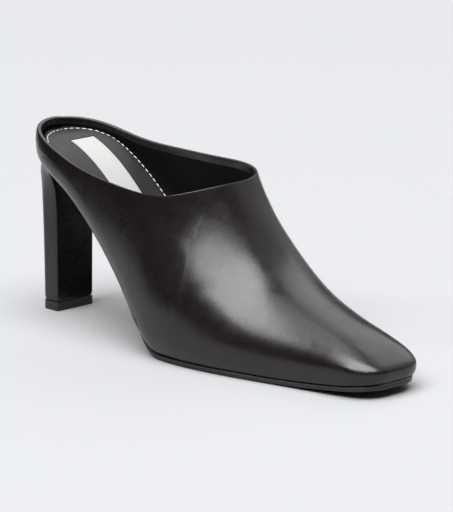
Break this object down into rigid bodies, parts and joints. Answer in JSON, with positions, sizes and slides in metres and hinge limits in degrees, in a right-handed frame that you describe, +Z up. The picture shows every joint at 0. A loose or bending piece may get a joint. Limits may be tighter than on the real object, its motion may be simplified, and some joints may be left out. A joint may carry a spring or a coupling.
{
  "type": "heeled mule shoe",
  "caption": "Right shoe of a pair of heeled mules: high closed vamp with a square toe, low rim round the heel seat, slim covered block heel.",
  "frame": {"origin": "middle of the shoe's plan box, on the floor it stands on", "axes": "+X from the heel to the toe, +Y to the inner (big toe) side, +Z up"},
  "size_m": [0.2308, 0.0794, 0.0928],
  "materials": {
    "upper": "smooth satin black",
    "insole": "smooth dark grey sock",
    "outsole": "painted edge, satin",
    "heel": "smooth satin black cover",
    "heel_top_piece": "matte"
  },
  "bodies": {
    "root": {"upper": "upper", "insole": "insole", "outsole": "outsole", "heel": "heel", "heel_top_piece": "heel_top_piece"}
  },
  "joints": []
}
